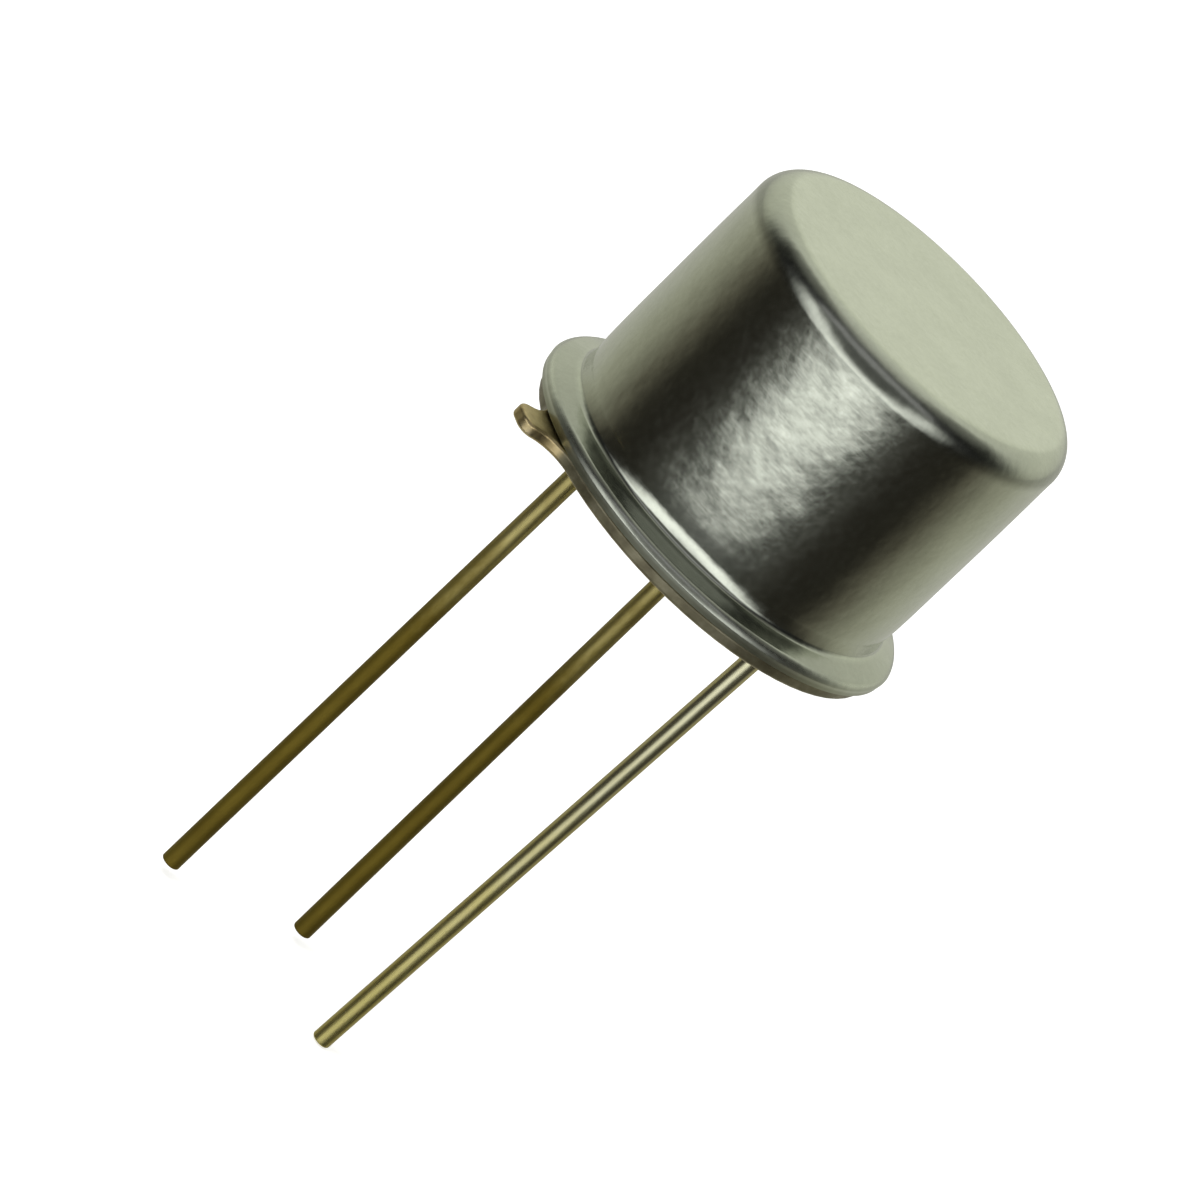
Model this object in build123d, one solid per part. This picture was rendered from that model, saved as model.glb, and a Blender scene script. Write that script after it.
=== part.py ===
from build123d import *
import os
from math import cos, hypot, isclose, radians, sin, tan

# A bipolar transistor in a round metal can that stands on three wire leads.
# Sizes are in millimetres. +Z runs along the can's axis, from the leads to the closed end.
# The origin is the centre of the seating plane, the underside of the header's flange.
# The emitter lead is at -X, the base lead at +Y and the collector lead at +X.
# The place at -Y has no lead, and the index tab stands between it and the emitter.

# Lead circle and the distances from it out to the flanges
lead_circle_diameter = 5.08
lead_to_platform_edge = 1.005
platform_clearance = 0.30
cap_sheet = 0.25
cap_flange_overhang = 0.555
header_flange_setback = 0.20

# Cap, a cup drawn from sheet, with its rim flared out and coined into a weld flange
seated_height = 6.48
crown_radius = 0.60
cap_flange_edge = 0.28
cap_flange_slope = 20.0
flare_radius = 0.50
flare_inner_radius = 0.35
cap_rim_round = 0.11

# Header, the stamped plate that carries the leads and closes the can
header_flange_thickness = 0.28
header_rim_round = 0.07
platform_height = 1.20
platform_edge_round = 0.12

# Weld projection, the low ridge on the flange that joins header and cap
weld_ridge_height = 0.04
weld_ridge_width = 0.12
weld_ridge_offset = 0.02

# Index tab, part of the header's flange
tab_angle = 225.0
tab_width = 0.80
tab_reach = 0.97
tab_straight_side = 0.05
tab_tip_radius = 0.30

# Leads, and how far and which way each has been bent
lead_diameter = 0.43
emitter_lead_angle = 180.0
base_lead_angle = 90.0
collector_lead_angle = 0.0
post_lead_length = 13.17
collector_lead_length = 13.38
emitter_lean_angle = 0.7
base_lean_angle = 0.9
collector_lean_angle = 2.5
emitter_lean_heading = 180.0
base_lean_heading = 110.0
collector_lean_heading = 180.0
lead_bend_depth = 0.35
lead_bend_radius = 20.0
lead_tip_round = 0.05

# Posts, the inner ends of the emitter and base leads, headed like nails
post_rise = 0.50
post_head_diameter = 0.74
post_head_thickness = 0.14
post_head_round = 0.04

# Glass seals round the emitter and base leads
seal_diameter = 1.30
seal_recess = 0.05
meniscus_rise = 0.10
meniscus_width = 0.14

# Weld of the collector lead, in a coined pocket under the header
weld_pocket_diameter = 1.30
weld_pocket_depth = 0.12
weld_flare_diameter = 0.86
weld_flare_rim = 0.04
weld_flare_height = 0.22

# Silicon die and the solder preform under it
die_width = 0.90
die_thickness = 0.20
preform_width = 1.06
preform_thickness = 0.05
emitter_pad_x = -0.22
emitter_pad_y = -0.14
base_pad_x = 0.16
base_pad_y = 0.22

# Bond wires from the die's pads to the posts
bond_wire_diameter = 0.05
bond_loop_height = 0.42
bond_corner_radius = 0.24
bond_foot_diameter = 0.14
bond_foot_thickness = 0.05

# Radii and levels that follow from the sizes above
lead_radius = lead_diameter / 2
lead_circle_radius = lead_circle_diameter / 2
platform_radius = lead_circle_radius + lead_to_platform_edge
cap_bore_radius = platform_radius + platform_clearance
can_radius = cap_bore_radius + cap_sheet
cap_flange_radius = can_radius + cap_flange_overhang
header_flange_radius = cap_flange_radius - header_flange_setback
weld_ridge_radius = cap_bore_radius + flare_inner_radius + weld_ridge_offset
cap_seat_level = header_flange_thickness + weld_ridge_height
cap_edge_level = cap_seat_level + cap_flange_edge
flare_level = cap_edge_level + cap_flange_overhang * tan(radians(cap_flange_slope))
seal_radius = seal_diameter / 2
post_top_level = platform_height + post_rise
preform_top_level = platform_height + preform_thickness
die_top_level = preform_top_level + die_thickness

STAND_ON_BASE = (Align.CENTER, Align.CENTER, Align.MIN)


def lead_place(angle):
    """Where a lead crosses the seating plane, on the lead circle."""
    return Vector(lead_circle_radius * cos(radians(angle)), lead_circle_radius * sin(radians(angle)), 0)


def turned(section, place=Vector(0, 0, 0)):
    """Turn a section, drawn as (radius, level), about +Z and stand it at its place."""
    return Pos(place) * revolve(Plane.XZ * section, Axis.Z)


def disc(radius, bottom, top, place=Vector(0, 0, 0)):
    """A round disc between two levels."""
    return Pos(place.X, place.Y, bottom) * Cylinder(radius, top - bottom, align=STAND_ON_BASE)


def rounded(section, corners):
    """Round the named corners of a section, each with its own radius."""
    for corner, radius in corners:
        section = fillet(section.vertices().sort_by_distance(corner)[0], radius)
    return section


def cap():
    """The drawn cup: closed end, round crown, straight wall, flare and coined flange."""
    inside_level = seated_height - cap_sheet
    outer_crown = (can_radius, seated_height)
    inner_crown = (cap_bore_radius, inside_level)
    outer_flare = (can_radius, flare_level)
    inner_flare = (cap_bore_radius, cap_seat_level)
    upper_rim = (cap_flange_radius, cap_edge_level)
    outline = Polyline(
        (0, inside_level),
        (0, seated_height),
        outer_crown,
        outer_flare,
        upper_rim,
        (cap_flange_radius, cap_seat_level),
        inner_flare,
        inner_crown,
        close=True,
    )
    section = rounded(
        make_face(outline),
        [
            (outer_crown, crown_radius),
            (inner_crown, crown_radius - cap_sheet),
            (outer_flare, flare_radius),
            (inner_flare, flare_inner_radius),
            (upper_rim, cap_rim_round),
        ],
    )
    return turned(section)


def header_flange():
    """The flange with its index tab, stamped in one piece."""
    half_width = tab_width / 2
    tab_length = header_flange_radius + tab_reach
    blade = Rectangle(tab_length, tab_width, align=(Align.MIN, Align.CENTER))
    blade = fillet(blade.vertices().sort_by(Axis.X)[-2:], tab_tip_radius)
    plate = Circle(header_flange_radius) + blade
    # The root's arc touches the round flange and the tab's side, where the side turns straight
    side_start = tab_length - tab_tip_radius - tab_straight_side
    root_space = side_start**2 + half_width**2 - header_flange_radius**2
    root_radius = root_space / (2 * header_flange_radius - tab_width)
    roots = [
        corner for corner in plate.vertices()
        if isclose(hypot(corner.X, corner.Y), header_flange_radius, rel_tol=1e-6)
    ]
    plate = fillet(roots, root_radius)
    flange = extrude(Rot(0, 0, tab_angle) * plate, header_flange_thickness)
    return fillet(flange.edges().filter_by(Plane.XY), header_rim_round)


def header():
    """The gold-plated header: flange, index tab, platform, weld projection, lead holes and weld pocket."""
    platform = disc(platform_radius, 0, platform_height)
    platform = fillet(platform.edges().group_by(Axis.Z)[-1], platform_edge_round)
    ridge = disc(weld_ridge_radius + weld_ridge_width, 0, cap_seat_level)
    ridge -= disc(weld_ridge_radius, 0, cap_seat_level)
    body = header_flange() + platform + ridge
    for angle in (emitter_lead_angle, base_lead_angle):
        body -= disc(seal_radius, 0, platform_height, lead_place(angle))
    body -= disc(weld_pocket_diameter / 2, 0, weld_pocket_depth, lead_place(collector_lead_angle))
    return body


def bent_wire(place, top_level, length, lean, heading):
    """A round lead: straight down, one gentle bend towards its heading, then straight to its tip."""
    straight = disc(lead_radius, -lead_bend_depth, top_level)
    section = Plane(origin=(0, 0, -lead_bend_depth), z_dir=(0, 0, -1)) * Circle(lead_radius)
    bend = revolve(section, Axis((lead_bend_radius, 0, -lead_bend_depth), (0, -1, 0)), lean)
    bend_end = Vector(
        lead_bend_radius * (1 - cos(radians(lean))),
        0,
        -lead_bend_depth - lead_bend_radius * sin(radians(lean)),
    )
    run = Plane(origin=bend_end, x_dir=(0, 1, 0), z_dir=(sin(radians(lean)), 0, -cos(radians(lean))))
    tail_length = length - lead_bend_depth - lead_bend_radius * radians(lean)
    tail = Cylinder(lead_radius, tail_length, align=STAND_ON_BASE)
    tail = fillet(tail.edges().group_by(Axis.Z)[-1], lead_tip_round)
    return Pos(place) * Rot(0, 0, heading) * (straight + bend + run * tail)


def post_lead(angle, lean, heading):
    """A lead that passes through its seal and ends in a nail head above the platform."""
    place = lead_place(angle)
    neck_level = post_top_level - post_head_thickness
    head = disc(post_head_diameter / 2, neck_level, post_top_level, place)
    head = fillet(head.edges().filter_by(GeomType.CIRCLE), post_head_round)
    return bent_wire(place, neck_level, post_lead_length, lean, heading) + head


def collector_lead():
    """The lead that is butt-welded to the header, with the flare that the weld leaves."""
    place = lead_place(collector_lead_angle)
    weld_radius = weld_flare_diameter / 2
    rim_level = weld_pocket_depth - weld_flare_rim
    flare_end = weld_pocket_depth - weld_flare_height
    outline = [
        Line((0, weld_pocket_depth), (weld_radius, weld_pocket_depth)),
        Line((weld_radius, weld_pocket_depth), (weld_radius, rim_level)),
        TangentArc((lead_radius, flare_end), (weld_radius, rim_level), tangent=(0, 1)),
        Line((lead_radius, flare_end), (0, flare_end)),
        Line((0, flare_end), (0, weld_pocket_depth)),
    ]
    wire = bent_wire(place, flare_end, collector_lead_length, collector_lean_angle, collector_lean_heading)
    return wire + turned(make_face(Wire(outline)), place)


def glass_seal(angle):
    """The glass between lead and header, drawn a little along the lead at both faces."""
    bottom = seal_recess
    top = platform_height - seal_recess
    bottom_tip = bottom - meniscus_rise
    top_tip = top + meniscus_rise
    meniscus_radius = lead_radius + meniscus_width
    outline = [
        Line((lead_radius, bottom_tip), (lead_radius, top_tip)),
        TangentArc((meniscus_radius, top), (lead_radius, top_tip), tangent=(-1, 0)),
        Line((meniscus_radius, top), (seal_radius, top)),
        Line((seal_radius, top), (seal_radius, bottom)),
        Line((seal_radius, bottom), (meniscus_radius, bottom)),
        TangentArc((meniscus_radius, bottom), (lead_radius, bottom_tip), tangent=(-1, 0)),
    ]
    return turned(make_face(Wire(outline)), lead_place(angle))


def die_attach():
    """The solder preform that holds the die to the platform."""
    preform = Box(preform_width, preform_width, preform_thickness, align=STAND_ON_BASE)
    return Pos(0, 0, platform_height) * preform


def silicon_die():
    """The transistor chip itself."""
    return Pos(0, 0, preform_top_level) * Box(die_width, die_width, die_thickness, align=STAND_ON_BASE)


def bond_wire(pad_x, pad_y, angle):
    """A looped wire from a pad on the die to a post, with a flattened foot at each end."""
    post = lead_place(angle)
    loop_level = post_top_level + bond_loop_height
    pad_end = Vector(pad_x, pad_y, die_top_level)
    post_end = Vector(post.X, post.Y, post_top_level)
    loop = FilletPolyline(
        pad_end,
        Vector(pad_x, pad_y, loop_level),
        Vector(post.X, post.Y, loop_level),
        post_end,
        radius=bond_corner_radius,
    )
    wire = sweep(Plane(origin=pad_end) * Circle(bond_wire_diameter / 2), path=loop)
    foot_radius = bond_foot_diameter / 2
    pad_foot = disc(foot_radius, die_top_level, die_top_level + bond_foot_thickness, pad_end)
    post_foot = disc(foot_radius, post_top_level, post_top_level + bond_foot_thickness, post_end)
    return wire + pad_foot + post_foot


sub_parts = {
    "cap": cap(),
    "header": header(),
    "emitter_lead": post_lead(emitter_lead_angle, emitter_lean_angle, emitter_lean_heading),
    "base_lead": post_lead(base_lead_angle, base_lean_angle, base_lean_heading),
    "collector_lead": collector_lead(),
    "emitter_glass_seal": glass_seal(emitter_lead_angle),
    "base_glass_seal": glass_seal(base_lead_angle),
    "die_attach": die_attach(),
    "silicon_die": silicon_die(),
    "emitter_bond_wire": bond_wire(emitter_pad_x, emitter_pad_y, emitter_lead_angle),
    "base_bond_wire": bond_wire(base_pad_x, base_pad_y, base_lead_angle),
}

os.makedirs("parts", exist_ok=True)
for name, shape in sub_parts.items():
    export_step(shape, f"parts/{name}.step")
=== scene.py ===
import bpy
import bmesh
from math import cos, pi, radians, sin, tan
from mathutils import Matrix, Vector, noise


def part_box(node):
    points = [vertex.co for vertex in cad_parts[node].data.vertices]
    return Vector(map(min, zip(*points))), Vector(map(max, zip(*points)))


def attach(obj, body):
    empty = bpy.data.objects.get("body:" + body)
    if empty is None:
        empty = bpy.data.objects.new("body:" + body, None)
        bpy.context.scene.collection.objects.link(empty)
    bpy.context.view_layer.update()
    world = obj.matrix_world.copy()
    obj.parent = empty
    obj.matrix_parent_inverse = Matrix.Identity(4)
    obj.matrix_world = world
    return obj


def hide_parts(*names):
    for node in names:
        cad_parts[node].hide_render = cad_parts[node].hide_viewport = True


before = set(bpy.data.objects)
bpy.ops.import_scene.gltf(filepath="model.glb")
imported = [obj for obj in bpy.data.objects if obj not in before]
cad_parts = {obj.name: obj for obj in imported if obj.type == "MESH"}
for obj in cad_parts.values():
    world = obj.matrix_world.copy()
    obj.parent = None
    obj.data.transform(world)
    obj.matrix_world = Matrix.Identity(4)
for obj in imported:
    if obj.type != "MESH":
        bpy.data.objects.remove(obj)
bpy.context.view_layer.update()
MM = 0.001
MICROMETRE = 1e-6

# The drawn cap, in millimetres and degrees, read from the CAD where it says them
cap_low, cap_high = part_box("cap")
CAP_TOP = cap_high.z / MM
CAP_SEAT = cap_low.z / MM
FLANGE_RADIUS = cap_high.x / MM
FLANGE_WIDTH = 0.555
FLANGE_EDGE_HEIGHT = 0.28
FLANGE_SLOPE = 20
FLARE_INNER_RADIUS = 0.35
CAN_RADIUS = FLANGE_RADIUS - FLANGE_WIDTH
SHEET = 0.25
CROWN_RADIUS = 0.60
# The rim's round, the tilt at which its lower corner takes over, that corner's radius, and the face's undercut
RIM_ROUND = 0.23
RIM_ROUND_END = 12
RIM_CORNER = 0.03
RIM_UNDERCUT = 9

# How many degrees above level the wall's outside faces, under the crown and then down the barrel
WAIST_TILT = -0.9
WAIST_RADIUS = 15
BARREL_TOP_TILT = 0.45
BARREL_FOOT_TILT = -0.8
# The turns from the barrel's foot to the flange's slope, as (tilt at the turn's end, radius)
FOOT_TURNS = [(-2.1, 24), (-5, 4.9), (-6, 2.4), (-1, 0.72), (9.5, 1.15), (90 - FLANGE_SLOPE, 0.15)]

# The wall's waves and finer ripples, in millimetres, and how many of each there are to the millimetre
WAVE_HEIGHT = 0.006
WAVE_RATE = 0.45
RIPPLE_HEIGHT = 0.003
RIPPLE_RATE = 1.1
# How far they are drawn in, so that none stands out past the CAD, and the radius at which their noise is read
WAVE_INSET = 0.004
WAVE_CLEARANCE = 0.003
NOISE_RADIUS = 4

# How finely the cap is cut: pieces round the can, degrees to a piece of a turn, and pieces of single runs
RING_STEPS = 384
DEGREES_PER_STEP = 2.5
FEWEST_STEPS = 6
CROWN_STEPS = 32
BARREL_STEPS = 24
TOP_STEPS = 14
INNER_STEPS = 12
# Edges that turn by more than this, in degrees, are shaded as sharp
SHARP_ANGLE = 35

# Bands in which the cap's finish changes, between two levels in millimetres. The slope and crown bands
# hold painted shade.
SHEARED_EDGE = (CAP_SEAT + 0.06, CAP_SEAT + 0.14)
RIM_BAND = (CAP_SEAT + 0.22, CAP_SEAT + 0.32)
SLOPE_SHADE_BAND = (CAP_SEAT + 0.20, CAP_SEAT + 0.60)
DRAWN_BAND = (CAP_TOP - 1.3 * CROWN_RADIUS, CAP_TOP - 0.7 * CROWN_RADIUS)
CROWN_SHADE_BAND = (CAP_TOP - 0.72, CAP_TOP)
# The radii, in millimetres, between which the painted shade on the header's edge ends, so that the tab keeps
# its gold
HEADER_SHADE_END = (4.50, 4.62)

# The camera: in degrees its turn from -Y towards +X, its rise and its roll, in metres its distance and the
# span that it sees, and in millimetres its lens and sensor
CAMERA_TURN = 4.6
CAMERA_RISE = 19.8
CAMERA_ROLL = 44.2
CAMERA_DISTANCE = 0.260
CAMERA_SPAN = (0.01, 20)
LENS = 395
SENSOR = 36
# The photograph's width and height, and the place of the frame's origin in it, in pixels
PICTURE = 1200
ORIGIN_PIXEL = (704, 530)

# The floor, in metres, with its colour and the light that it gives by itself
LEADS = ("emitter_lead", "base_lead", "collector_lead")
FLOOR_GAP = 0.00003
FLOOR_LEVEL = min(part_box(lead)[0].z for lead in LEADS) - FLOOR_GAP
FLOOR_HALF = 4.0
FLOOR_COLOUR = (0.86, 0.86, 0.86, 1)
FLOOR_LIFT = 0.70

# The softbox, in metres and watts
SOFTBOX_PLACE = (-0.10, -0.10, 0.22)
SOFTBOX_SIZE = 0.16
SOFTBOX_POWER = 0.35


# Meshes

def polar(centre, radius, angle):
    """The point of a section, as (radius, level), that lies at an angle in degrees round a centre."""
    return centre[0] + radius * cos(radians(angle)), centre[1] + radius * sin(radians(angle))


def arc(centre, radius, start, end, steps):
    """Points on an arc of a section, between two angles."""
    return [polar(centre, radius, start + (end - start) * i / steps) for i in range(steps + 1)]


def run(start, end, steps):
    """Points between two ends of a straight run, without the ends."""
    return [
        (start[0] + (end[0] - start[0]) * i / steps, start[1] + (end[1] - start[1]) * i / steps)
        for i in range(1, steps)
    ]


def bend(start, tilt, turns, fewest=FEWEST_STEPS):
    """Points down a surface that faces tilt degrees above level at start.

    Each turn is (last tilt, radius), and has no fewer steps than fewest.
    """
    points = [start]
    for end, radius in turns:
        side = radius if end > tilt else -radius
        steps = max(fewest, round(abs(end - tilt) / DEGREES_PER_STEP))
        points += arc(polar(points[-1], side, tilt), -side, tilt, end, steps)[1:]
        tilt = end
    return points


def cap_section():
    """The drawn cap's section: over the crown, down the wall, round the flange and back up inside.

    The wall is barrelled by less than a degree. Above the flange it draws in a little, opens again in a
    gentle cone and then turns sharply outwards.
    """
    slope = 90 - FLANGE_SLOPE
    edge_level = CAP_SEAT + FLANGE_EDGE_HEIGHT
    crown_centre = (CAN_RADIUS - CROWN_RADIUS, CAP_TOP - CROWN_RADIUS)
    crown = arc(crown_centre, CROWN_RADIUS, 90, WAIST_TILT, CROWN_STEPS)
    wall = bend(crown[-1], WAIST_TILT, [(BARREL_TOP_TILT, WAIST_RADIUS)])

    foot = bend((CAN_RADIUS, 0), BARREL_FOOT_TILT, FOOT_TURNS)
    foot_level = edge_level + (FLANGE_RADIUS - foot[-1][0]) * tan(radians(FLANGE_SLOPE)) - foot[-1][1]
    barrel = (wall[-1][1] - foot_level) / (sin(radians(BARREL_TOP_TILT)) - sin(radians(BARREL_FOOT_TILT)))
    wall += bend(wall[-1], BARREL_TOP_TILT, [(BARREL_FOOT_TILT, barrel)], BARREL_STEPS)[1:]
    inset = wall[-1][0] - CAN_RADIUS
    foot = [(radius + inset, level + foot_level) for radius, level in foot[1:]]

    rim_centre = (FLANGE_RADIUS - RIM_ROUND, edge_level - RIM_ROUND * tan(radians(slope / 2)))
    rim_start = polar(rim_centre, RIM_ROUND, slope)
    rim = bend(rim_start, slope, [(RIM_ROUND_END, RIM_ROUND), (-RIM_UNDERCUT, RIM_CORNER)])
    undercut = (rim[-1][1] - CAP_SEAT) * tan(radians(RIM_UNDERCUT))

    bore = CAN_RADIUS - SHEET
    flare_centre = (bore + FLARE_INNER_RADIUS, CAP_SEAT + FLARE_INNER_RADIUS)
    points = [(0, CAP_TOP)]
    points += run((0, CAP_TOP), (CAN_RADIUS - CROWN_RADIUS, CAP_TOP), TOP_STEPS)
    points += crown + wall[1:] + foot + rim
    points += [(rim[-1][0] - undercut, CAP_SEAT)]
    points += arc(flare_centre, FLARE_INNER_RADIUS, -90, -180, INNER_STEPS)
    points += arc(crown_centre, CROWN_RADIUS - SHEET, 0, 90, INNER_STEPS)
    points += [(0, CAP_TOP - SHEET)]
    return points


def uneven(radius, level, turn):
    """A radius of the cap with the small unevenness that drawing leaves. The flat top has none."""
    if radius < CAN_RADIUS - CROWN_RADIUS:
        return radius
    place = Vector((cos(turn) * NOISE_RADIUS, sin(turn) * NOISE_RADIUS, level))
    wave = noise.noise(place * WAVE_RATE) * WAVE_HEIGHT + noise.noise(place * RIPPLE_RATE) * RIPPLE_HEIGHT
    return radius - WAVE_INSET + min(0.0, wave - WAVE_CLEARANCE)


def lathe(name, section, shift):
    """Turn a section, which starts and ends on the can's axis, about it. shift moves each point out or in."""
    mesh = bmesh.new()
    rings = []
    for radius, level in section:
        if radius == 0:
            rings.append([mesh.verts.new((0, 0, level * MM))])
            continue
        ring = []
        for i in range(RING_STEPS):
            turn = 2 * pi * i / RING_STEPS
            r = shift(radius, level, turn)
            ring.append(mesh.verts.new((r * cos(turn) * MM, r * sin(turn) * MM, level * MM)))
        rings.append(ring)
    for ring, following in zip(rings, rings[1:]):
        for i in range(RING_STEPS):
            j = (i + 1) % RING_STEPS
            if len(ring) == 1:
                mesh.faces.new((ring[0], following[i], following[j]))
            elif len(following) == 1:
                mesh.faces.new((ring[i], following[0], ring[j]))
            else:
                mesh.faces.new((ring[i], following[i], following[j], ring[j]))
    bmesh.ops.recalc_face_normals(mesh, faces=mesh.faces)
    data = bpy.data.meshes.new(name)
    mesh.to_mesh(data)
    mesh.free()
    data.shade_smooth()
    data.set_sharp_from_angle(angle=radians(SHARP_ANGLE))
    obj = bpy.data.objects.new(name, data)
    bpy.context.scene.collection.objects.link(obj)
    return obj


# Node trees

def grey(value):
    """A grey colour."""
    return (value, value, value)


class Tree:
    """A node tree, with the few helpers that its nodes need."""

    def __init__(self, owner):
        owner.use_nodes = True
        self.data = owner
        self.tree = owner.node_tree

    def node(self, kind, **settings):
        made = self.tree.nodes.new(kind)
        for key, value in settings.items():
            setattr(made, key, value)
        return made

    def drop(self, name):
        self.tree.nodes.remove(self.tree.nodes[name])

    def link(self, source, target):
        self.tree.links.new(source, target)

    def put(self, value, socket):
        """Set a socket to a number or colour, or link a node's output to it."""
        if isinstance(value, bpy.types.NodeSocket):
            self.link(value, socket)
        else:
            socket.default_value = value

    def axes(self, vector):
        """The three parts of a vector."""
        split = self.node("ShaderNodeSeparateXYZ")
        self.link(vector, split.inputs[0])
        return split.outputs

    def math(self, operation, *values):
        made = self.node("ShaderNodeMath", operation=operation)
        for socket, value in zip(made.inputs, values):
            self.put(value, socket)
        return made.outputs[0]

    def plus(self, a, b):
        return self.math("ADD", a, b)

    def minus(self, a, b):
        return self.math("SUBTRACT", a, b)

    def times(self, first, *others):
        for other in others:
            first = self.math("MULTIPLY", first, other)
        return first

    def size(self, value):
        return self.math("ABSOLUTE", value)

    def square(self, value):
        return self.times(value, value)

    def distance(self, a, b):
        """The length of the hypotenuse over a and b."""
        return self.math("SQRT", self.plus(self.square(a), self.square(b)))

    def ramp(self, factor, stops):
        made = self.node("ShaderNodeValToRGB")
        elements = made.color_ramp.elements
        while len(elements) < len(stops):
            elements.new(0.5)
        for element, (position, colour) in zip(elements, stops):
            element.position = position
            element.color = (*colour, 1)
        self.link(factor, made.inputs[0])
        return made.outputs[0]

    def remap(self, value, low, high, to_low=0.0, to_high=1.0, smooth=True):
        made = self.node("ShaderNodeMapRange", interpolation_type="SMOOTHSTEP" if smooth else "LINEAR")
        for name, number in zip(("From Min", "From Max", "To Min", "To Max"), (low, high, to_low, to_high)):
            made.inputs[name].default_value = number
        self.link(value, made.inputs["Value"])
        return made.outputs[0]

    def rising(self, value, span):
        """From 0 to 1 over a span of the value."""
        return self.remap(value, *span)

    def falling(self, value, span):
        """From 1 to 0 over a span of the value."""
        return self.remap(value, *span, 1.0, 0.0)

    def blend(self, factor, a, b, mode="MIX"):
        """Mix two colours."""
        made = self.node("ShaderNodeMix", data_type="RGBA", blend_type=mode)
        self.put(factor, made.inputs["Factor"])
        self.put(a, made.inputs["A"])
        self.put(b, made.inputs["B"])
        return made.outputs["Result"]

    def tint(self, colour, by):
        """Multiply two colours."""
        return self.blend(1.0, colour, by, "MULTIPLY")

    def either(self, factor, a, b):
        """Mix two shaders."""
        made = self.node("ShaderNodeMixShader")
        for value, socket in zip((factor, a, b), made.inputs):
            self.put(value, socket)
        return made.outputs[0]


class Material(Tree):
    """A procedural surface on a Principled shader."""

    def __init__(self, name):
        super().__init__(bpy.data.materials.new(name))
        self.shader = self.tree.nodes["Principled BSDF"]
        self.place = self.node("ShaderNodeTexCoord").outputs["Object"]

    def set(self, name, value):
        self.put(value, self.shader.inputs[name])

    def noise(self, x, y, z, detail=4.0, roughness=0.6):
        """Noise with so many features to the millimetre along each axis."""
        scaled = self.node("ShaderNodeMapping")
        scaled.inputs["Scale"].default_value = (x / MM, y / MM, z / MM)
        self.link(self.place, scaled.inputs["Vector"])
        made = self.node("ShaderNodeTexNoise")
        made.inputs["Scale"].default_value = 1.0
        made.inputs["Detail"].default_value = detail
        made.inputs["Roughness"].default_value = roughness
        self.link(scaled.outputs[0], made.inputs["Vector"])
        return made.outputs[0]

    def spread(self, value, low, high):
        """Stretch a noise value, which mostly lies between 0.3 and 0.7, to a range."""
        return self.remap(value, 0.3, 0.7, low, high, smooth=False)

    def bump(self, height, distance, below=None):
        """Raise the surface by distance, in micrometres, from no height to full height."""
        made = self.node("ShaderNodeBump")
        made.inputs["Distance"].default_value = distance * MICROMETRE
        self.link(height, made.inputs["Height"])
        if below is not None:
            self.link(below, made.inputs["Normal"])
        return made.outputs[0]


# Materials

def nickel():
    """Satin nickel plate over drawn steel: mottled, with shallow dents, marks round the can and a fine grain.

    The crown's round and the flange's slope are duller and darkened by painted shade, and the sheared edge at
    the seat shows darker metal.
    """
    m = Material("nickel_plated_steel")
    m.set("Metallic", 1.0)
    clouds = m.noise(0.9, 0.9, 0.9, 3.0, 0.55)
    specks = m.noise(9, 9, 9, 3.0)
    tone = m.plus(m.times(clouds, 0.55), m.times(specks, 0.45))
    plate = m.ramp(tone, [
        (0.36, (0.570, 0.602, 0.498)),
        (0.50, (0.605, 0.638, 0.530)),
        (0.64, (0.640, 0.674, 0.562)),
    ])
    dents = m.noise(1.4, 1.4, 1.2, 2.5, 0.5)
    marks = m.noise(2.4, 2.4, 12.0, 4.0, 0.62)
    grain = m.noise(7.5, 7.5, 6.0)

    level = m.times(m.axes(m.place)[2], 1 / MM)
    # Painted shade: darker colour on the crown's round and the flange's slope, to dim what they reflect
    crown = m.remap(level, *CROWN_SHADE_BAND, smooth=False)
    crown = m.ramp(crown, [(0.04, grey(1)), (0.30, grey(0.71)), (0.46, grey(0.77)), (0.97, grey(1))])
    slope = m.remap(level, *SLOPE_SHADE_BAND, smooth=False)
    slope = m.ramp(slope, [(0.15, grey(1)), (0.25, grey(0.82)), (0.60, grey(0.82)), (0.75, grey(1))])
    plate = m.tint(m.tint(plate, crown), slope)
    m.set("Base Color", m.blend(m.falling(level, SHEARED_EDGE), plate, (0.42, 0.44, 0.34, 1)))

    worked = m.plus(m.times(m.rising(level, DRAWN_BAND), 0.04), m.times(m.falling(level, RIM_BAND), 0.16))
    m.set("Roughness", m.plus(m.spread(grain, 0.13, 0.20), worked))
    m.set("Normal", m.bump(grain, 0.8, m.bump(marks, 0.7, m.bump(dents, 15.5))))
    return m.data


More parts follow.
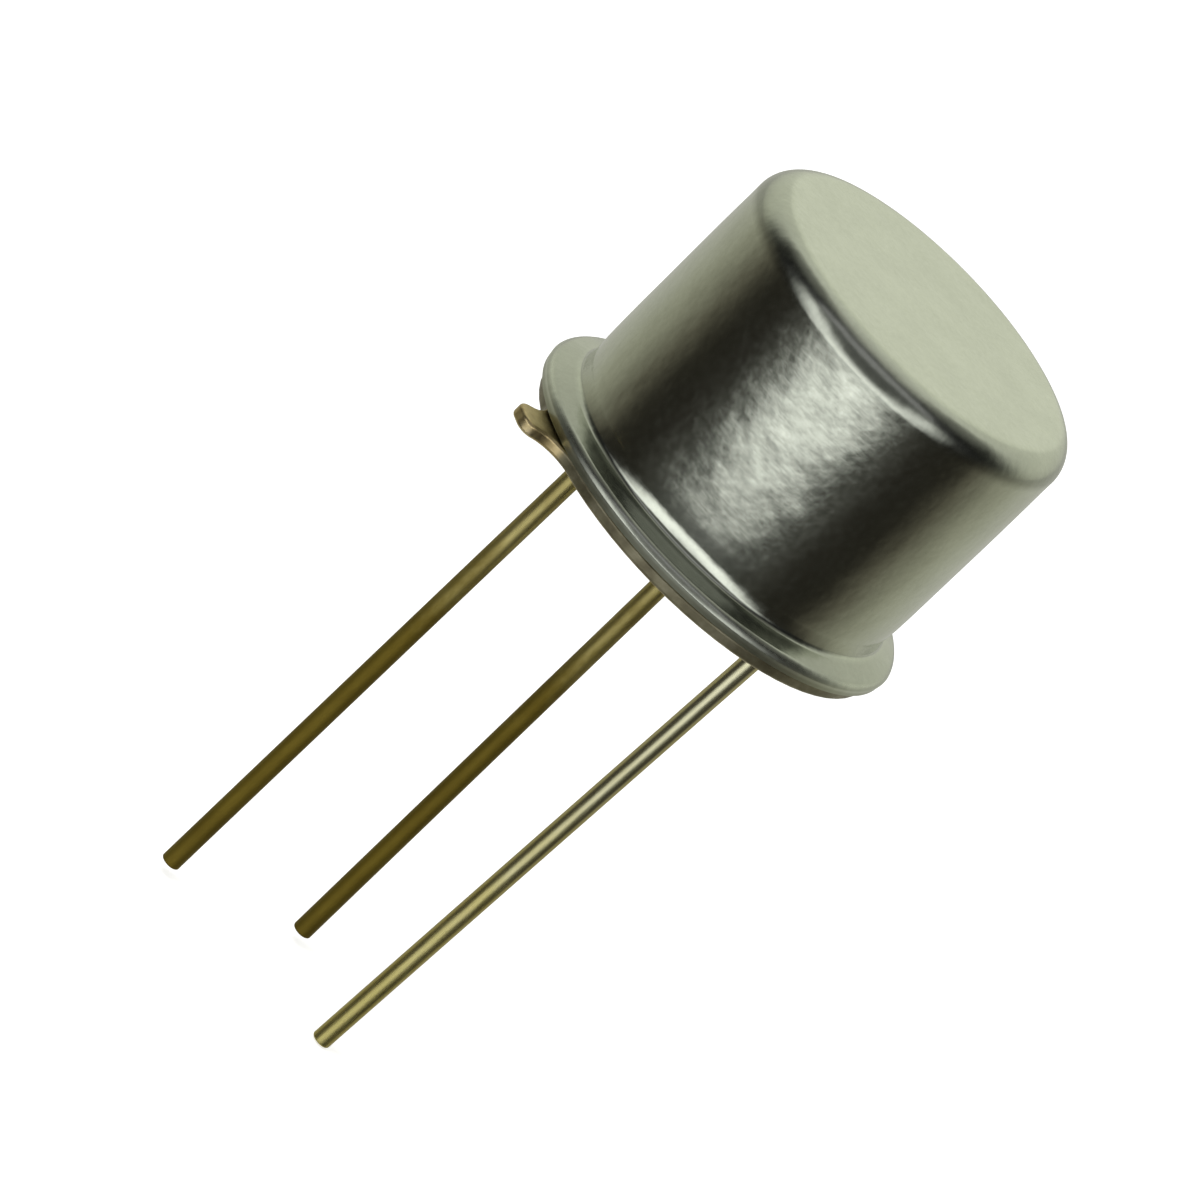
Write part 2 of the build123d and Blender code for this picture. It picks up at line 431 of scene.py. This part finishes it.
def header_gold():
    """Thin gold plate on the stamped header: blotchy, with painted shade on the round edge under the cap."""
    m = Material("gold_plated_header")
    blotch = m.noise(1.6, 1.6, 1.6)
    plate = m.ramp(blotch, [
        (0.30, (0.42, 0.33, 0.150)),
        (0.50, (0.64, 0.515, 0.26)),
        (0.70, (0.78, 0.665, 0.39)),
    ])
    # Painted shade: the dark colour of the round edge under the cap's overhanging flange
    edge_shade_colour = m.ramp(blotch, [
        (0.30, (0.15, 0.132, 0.075)),
        (0.50, (0.235, 0.215, 0.130)),
        (0.70, (0.36, 0.335, 0.22)),
    ])
    x, y = m.axes(m.place)[:2]
    radius = m.times(m.distance(x, y), 1 / MM)
    facing = m.axes(m.node("ShaderNodeNewGeometry").outputs["Normal"])[2]
    # Painted shade on the round edge, ending before the tab, with a darker colour and less metallic
    worn_and_shaded = m.times(m.falling(m.size(facing), (0.5, 0.9)), m.falling(radius, HEADER_SHADE_END))
    m.set("Base Color", m.blend(worn_and_shaded, plate, edge_shade_colour))
    m.set("Metallic", m.remap(worn_and_shaded, 0, 1, 1.0, 0.55))
    marks = m.noise(7, 7, 7)
    m.set("Roughness", m.spread(marks, 0.28, 0.42))
    m.set("Normal", m.bump(marks, 2.5))
    return m.data


def lead_gold(name, metallic, wear_and_shade_levels, near, far, edge, tarnish, roughness):
    """Thin gold plate on a drawn lead: smooth, with a painted highlight near the body, and duller, with
    painted shade that browns it, towards the tip.

    Between the two levels, in millimetres, the near colour and roughness turn into the far ones; the change of
    colour is painted reflection and painted shade. edge is painted shade where the round of the lead turns
    away from the camera, and tarnish is the darkest tint of the blotches.
    """
    m = Material(name)
    m.set("Metallic", metallic)
    blotch = m.noise(1.6, 1.6, 0.8)
    marks = m.noise(16, 16, 1.6)
    level = m.times(m.axes(m.place)[2], 1 / MM)
    worn_and_shaded = m.remap(m.plus(level, m.spread(blotch, -1.0, 1.0)), *wear_and_shade_levels)
    glance = m.node("ShaderNodeLayerWeight")
    glance.inputs["Blend"].default_value = 0.5
    # Painted highlight near the body, painted shade towards the tip and where the lead turns from the camera
    colour = m.blend(worn_and_shaded, (*near, 1), (*far, 1))
    colour = m.blend(m.rising(glance.outputs["Facing"], (0.25, 0.75)), colour, (*edge, 1))
    m.set("Base Color", m.tint(colour, m.ramp(blotch, [(0.30, tarnish), (0.65, grey(1))])))
    m.set("Roughness", m.plus(m.spread(marks, -0.04, 0.04), m.remap(worn_and_shaded, 0, 1, *roughness)))
    m.set("Normal", m.bump(marks, 0.35))
    return m.data


def seal_glass():
    """Dark fused glass, with faint cloud and tiny bubbles."""
    m = Material("seal_glass")
    cloud = m.noise(3, 3, 3)
    m.set("Base Color", m.ramp(cloud, [(0.3, (0.020, 0.030, 0.026)), (0.7, (0.055, 0.075, 0.065))]))
    m.set("IOR", 1.52)
    bubbles = m.noise(14, 14, 14, 2.0, 0.5)
    m.set("Roughness", m.spread(bubbles, 0.08, 0.22))
    m.set("Normal", m.bump(bubbles, 4.0))
    return m.data


def plain_metal(name, dark, light, roughness, grains):
    """A small inner piece: one metal with a fine, uneven finish of so many grains to the millimetre."""
    m = Material(name)
    m.set("Metallic", 1.0)
    grain = m.noise(grains, grains, grains)
    m.set("Base Color", m.ramp(grain, [(0.3, dark), (0.7, light)]))
    m.set("Roughness", m.spread(grain, *roughness))
    m.set("Normal", m.bump(grain, 3.0))
    return m.data


def silicon():
    """Polished silicon with the faint cells of its metal pattern."""
    m = Material("silicon")
    m.set("Metallic", 0.6)
    cells = m.noise(9, 9, 9, 2.0, 0.5)
    m.set("Base Color", m.ramp(cells, [(0.4, (0.11, 0.11, 0.15)), (0.6, (0.26, 0.26, 0.32))]))
    m.set("Roughness", m.spread(cells, 0.08, 0.16))
    return m.data


def dress(node, material):
    """Give a CAD node its material."""
    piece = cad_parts[node]
    if not piece.material_slots:
        piece.data.materials.append(material)
    for slot in piece.material_slots:
        slot.material = material


# The object

cap = lathe("drawn_cap", cap_section(), uneven)
cap.data.materials.append(nickel())
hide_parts("cap")
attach(cap, "root")

# Painted light: one gold plate in a shaded copy for the emitter and base leads and a lit copy for the
# collector
shaded_lead = lead_gold(
    "gold_plated_lead",
    metallic=0.82,
    wear_and_shade_levels=(-1.2, -6.6),
    near=(0.68, 0.60, 0.24),
    far=(0.275, 0.205, 0.027),
    edge=(0.28, 0.22, 0.05),
    tarnish=(0.80, 0.78, 0.72),
    roughness=(0.28, 0.58),
)
lit_lead = lead_gold(
    "gold_plated_lead_bright",
    metallic=0.94,
    wear_and_shade_levels=(-2.0, -12.0),
    near=(1.0, 0.98, 0.64),
    far=(0.84, 0.75, 0.28),
    edge=(0.46, 0.38, 0.12),
    tarnish=(0.95, 0.94, 0.90),
    roughness=(0.17, 0.27),
)
glass = seal_glass()
solder = plain_metal("gold_tin_solder", (0.60, 0.55, 0.40), (0.80, 0.75, 0.58), (0.28, 0.42), 12)
aluminium = plain_metal("aluminium_wire", (0.72, 0.72, 0.73), (0.86, 0.86, 0.87), (0.20, 0.32), 30)
dress("header", header_gold())
dress("emitter_lead", shaded_lead)
dress("base_lead", shaded_lead)
dress("collector_lead", lit_lead)
dress("emitter_glass_seal", glass)
dress("base_glass_seal", glass)
dress("die_attach", solder)
dress("silicon_die", silicon())
dress("emitter_bond_wire", aluminium)
dress("base_bond_wire", aluminium)


# Studio

# What the sides of the can see, by the angle from the front: black flags and then the pale room
ROOM = [
    (0, (0.060, 0.060, 0.062)),
    (15, (0.050, 0.050, 0.050)),
    (30, (0.030, 0.030, 0.029)),
    (40, (0.024, 0.023, 0.021)),
    (48, (0.016, 0.015, 0.013)),
    (56, (0.0105, 0.0095, 0.0078)),
    (72, (0.0105, 0.0095, 0.0078)),
    (78, (0.0145, 0.013, 0.0105)),
    (85, (0.033, 0.030, 0.024)),
    (92, (0.062, 0.057, 0.045)),
    (100, (0.098, 0.094, 0.076)),
    (108, (0.138, 0.135, 0.110)),
    (118, (0.178, 0.176, 0.145)),
    (128, (0.213, 0.213, 0.180)),
    (142, (0.242, 0.242, 0.214)),
    (164, (0.255, 0.255, 0.232)),
    (180, (0.250, 0.250, 0.230)),
]
# What the crown and the flange see, by the angle over the top from front to back
OVERHEAD = [
    (0, (0.130, 0.130, 0.130)),
    (40, (0.130, 0.130, 0.132)),
    (48, (0.158, 0.156, 0.166)),
    (56, (0.178, 0.174, 0.192)),
    (62, (0.158, 0.154, 0.170)),
    (69, (0.070, 0.069, 0.074)),
    (75, (0.080, 0.080, 0.080)),
    (81, (0.135, 0.135, 0.130)),
    (88, (0.200, 0.200, 0.188)),
    (96, (0.245, 0.245, 0.229)),
    (106, (0.285, 0.287, 0.266)),
    (126, (0.335, 0.338, 0.308)),
    (142, (0.370, 0.375, 0.330)),
    (158, (0.393, 0.399, 0.346)),
    (180, (0.393, 0.399, 0.346)),
]
# The colours below the can and of the lit diffuser, and the strength of the whole
UNDERNEATH = (0.20, 0.20, 0.18, 1)
DIFFUSER = (0.74, 0.74, 0.765, 1)
STUDIO_STRENGTH = 2.0

# Where the studio's parts lie, in degrees of bearing from the front or of rise above level. Between the two
# numbers of a pair the part fades in or out.
OVERHEAD_START = (-14, 18)
UNDERNEATH_END = (-58, -30)
DIFFUSER_BEARING = -2.45
DIFFUSER_SIDES = (22, 60)
DIFFUSER_FOOT = (-24.2, -15.7)
DIFFUSER_TOP = (14, 30)
SHADE_RISE = 40
SHADE_EDGE = (29, 53)
SHADE_TOP = (38, 50)
FLAG_START = (44, 60)
FLAG_END = (98, 129)
FLAG_TOP = (34, 56)
# How fast the diffuser's foot and top curve up with the square of the bearing
FOOT_CURVE = 0.0047
TOP_CURVE = 0.0034
# How far the diffuser splays with the rise, in degrees, and between which rises
SPLAY = 11.0
SPLAY_RISES = (-14, 16)
# How far the flags' far ends come forward for each degree of rise, and from which rise
FLAG_SWEEP = 0.7
FLAG_SWEEP_START = 30
# How much light the flags take away below and above their top, and what the shade and the far sides leave
FLAG_DENSITY = (0.94, 0.68)
SHADE_LIGHT = 0.45
FAR_SIDE_LIGHT = 0.82
# The share of a direction that points sideways where the flags and the far sides begin
FLAG_SIDE = (0.20, 0.42)
FAR_SIDE = (0.10, 0.26)
# The share of the way over the top at which the far sides begin
FAR_SIDE_START = (0.65, 0.78)


class Studio(Tree):
    """The world that the object sees and reflects, by direction.

    The front is the camera's side. bearing is a direction's angle from the front to the camera's right,
    around is the size of that angle, and rise is the angle above level, all in degrees. aside is the share of
    the direction that points to either side. over runs from 0 in front through 0.5 overhead to 1 behind.
    """

    def __init__(self, world):
        super().__init__(world)
        x, y, up = self.axes(self.node("ShaderNodeTexCoord").outputs["Generated"])
        turn = radians(CAMERA_TURN)
        side = self.plus(self.times(x, cos(turn)), self.times(y, sin(turn)))
        front = self.minus(self.times(x, sin(turn)), self.times(y, cos(turn)))
        self.aside = self.size(side)
        self.bearing = self.times(self.math("ARCTAN2", side, front), 180 / pi)
        self.around = self.size(self.bearing)
        self.rise = self.times(self.math("ARCSINE", up), 180 / pi)
        self.over = self.times(self.math("MAXIMUM", self.math("ARCTAN2", up, front), 0.0), 1 / pi)

    def curved(self, angle, curve):
        """The rise, less what a foot or top that curves up by the square of an angle has gained there."""
        return self.minus(self.rise, self.times(self.square(angle), curve))

    def outside_shade(self):
        """1 outside the round lens shade and 0 in it."""
        return self.rising(self.distance(self.around, self.minus(self.rise, SHADE_RISE)), SHADE_EDGE)

    def diffuser(self):
        """1 on the lit diffuser in front of the can and 0 off it."""
        aslant = self.minus(self.bearing, DIFFUSER_BEARING)
        foot = self.rising(self.curved(aslant, FOOT_CURVE), DIFFUSER_FOOT)
        top = self.falling(self.curved(self.around, TOP_CURVE), DIFFUSER_TOP)
        reach = self.minus(self.size(aslant), self.remap(self.rise, *SPLAY_RISES, 0.0, SPLAY))
        return self.times(foot, top, self.falling(reach, DIFFUSER_SIDES))

    def flags(self):
        """How much light the black flags beside the can take away."""
        swept = self.times(self.math("MAXIMUM", self.minus(self.rise, FLAG_SWEEP_START), 0.0), FLAG_SWEEP)
        between = self.times(
            self.rising(self.around, FLAG_START),
            self.falling(self.minus(self.around, swept), FLAG_END),
        )
        density = self.remap(self.rise, *FLAG_TOP, *FLAG_DENSITY)
        return self.times(between, self.rising(self.aside, FLAG_SIDE), density)

    def light_left(self, shade):
        """How much of the overhead light is left by the lens shade, by the flags and at the far sides."""
        shaded = self.times(self.minus(1.0, shade), self.falling(self.rise, SHADE_TOP))
        far = self.times(self.rising(self.over, FAR_SIDE_START), self.rising(self.aside, FAR_SIDE))
        return self.times(
            self.remap(shaded, 0, 1, 1.0, SHADE_LIGHT),
            self.minus(1.0, self.flags()),
            self.remap(far, 0, 1, 1.0, FAR_SIDE_LIGHT),
        )

    def colour(self):
        """The studio's colour in each direction."""
        shade = self.outside_shade()
        low = self.ramp(self.math("DIVIDE", self.around, 180), [(angle / 180, tone) for angle, tone in ROOM])
        high = self.ramp(self.over, [(angle / 180, tone) for angle, tone in OVERHEAD])
        high = self.tint(high, self.light_left(shade))
        room = self.blend(self.rising(self.rise, OVERHEAD_START), low, high)
        room = self.blend(self.falling(self.rise, UNDERNEATH_END), room, UNDERNEATH)
        return self.blend(self.times(self.diffuser(), shade), room, DIFFUSER)


def make_world():
    """The studio round the object. The camera itself sees plain white in its place."""
    world = bpy.data.worlds.new("studio")
    bpy.context.scene.world = world
    m = Studio(world)
    studio = m.node("ShaderNodeBackground")
    studio.inputs["Strength"].default_value = STUDIO_STRENGTH
    m.link(m.colour(), studio.inputs["Color"])
    white = m.node("ShaderNodeBackground")
    white.inputs["Color"].default_value = (1, 1, 1, 1)
    from_camera = m.node("ShaderNodeLightPath").outputs["Is Camera Ray"]
    seen = m.either(from_camera, studio.outputs[0], white.outputs[0])
    m.link(seen, m.tree.nodes["World Output"].inputs["Surface"])
    m.drop("Background")


def make_floor():
    """A pale floor with the object's soft shadow, for a camera above it. Other rays pass through it."""
    data = bpy.data.meshes.new("floor")
    corners = [(-1, -1), (1, -1), (1, 1), (-1, 1)]
    data.from_pydata([(x * FLOOR_HALF, y * FLOOR_HALF, FLOOR_LEVEL) for x, y in corners], [], [(0, 1, 2, 3)])
    floor = bpy.data.objects.new("floor", data)
    bpy.context.scene.collection.objects.link(floor)
    m = Tree(bpy.data.materials.new("pale_floor"))
    m.drop("Principled BSDF")
    pale = m.node("ShaderNodeBsdfDiffuse")
    pale.inputs["Color"].default_value = FLOOR_COLOUR
    lift = m.node("ShaderNodeEmission")
    lift.inputs["Strength"].default_value = FLOOR_LIFT
    lifted = m.node("ShaderNodeAddShader")
    m.link(pale.outputs[0], lifted.inputs[0])
    m.link(lift.outputs[0], lifted.inputs[1])
    from_above = m.minus(1.0, m.node("ShaderNodeNewGeometry").outputs["Backfacing"])
    shown = m.times(m.node("ShaderNodeLightPath").outputs["Is Camera Ray"], from_above)
    clear = m.node("ShaderNodeBsdfTransparent")
    seen = m.either(shown, clear.outputs[0], lifted.outputs[0])
    m.link(seen, m.tree.nodes["Material Output"].inputs["Surface"])
    floor.data.materials.append(m.data)


def make_softbox():
    """A square softbox, aimed at the origin. It lights the object and the floor and isn't reflected."""
    data = bpy.data.lights.new("softbox", "AREA")
    data.size = SOFTBOX_SIZE
    data.energy = SOFTBOX_POWER
    lamp = bpy.data.objects.new("softbox", data)
    lamp.location = SOFTBOX_PLACE
    lamp.rotation_mode = "QUATERNION"
    lamp.rotation_quaternion = (-Vector(SOFTBOX_PLACE)).to_track_quat("-Z", "Y")
    lamp.visible_glossy = False
    bpy.context.scene.collection.objects.link(lamp)


def make_camera():
    """A long lens from the photograph's side, rolled so that the can leans to the right."""
    data = bpy.data.cameras.new("camera")
    data.lens = LENS
    data.sensor_width = SENSOR
    data.clip_start, data.clip_end = CAMERA_SPAN
    camera = bpy.data.objects.new("camera", data)
    bpy.context.scene.collection.objects.link(camera)
    turn = radians(CAMERA_TURN)
    rise = radians(CAMERA_RISE)
    roll = radians(CAMERA_ROLL)
    back = Vector((sin(turn) * cos(rise), -cos(turn) * cos(rise), sin(rise)))
    level = Vector((cos(turn), sin(turn), 0))
    upright = back.cross(level)
    right = sin(roll) * level + cos(roll) * upright
    above = sin(roll) * upright - cos(roll) * level
    pixel = CAMERA_DISTANCE * SENSOR / LENS / PICTURE
    middle = PICTURE / 2
    aim = (middle - ORIGIN_PIXEL[0]) * pixel * right - (middle - ORIGIN_PIXEL[1]) * pixel * above
    turned = Matrix((right, above, back)).transposed().to_4x4()
    camera.matrix_world = Matrix.Translation(aim + back * CAMERA_DISTANCE) @ turned
    bpy.context.scene.camera = camera


make_floor()
make_world()
make_softbox()
make_camera()

scene = bpy.context.scene
scene.view_settings.view_transform = "Standard"
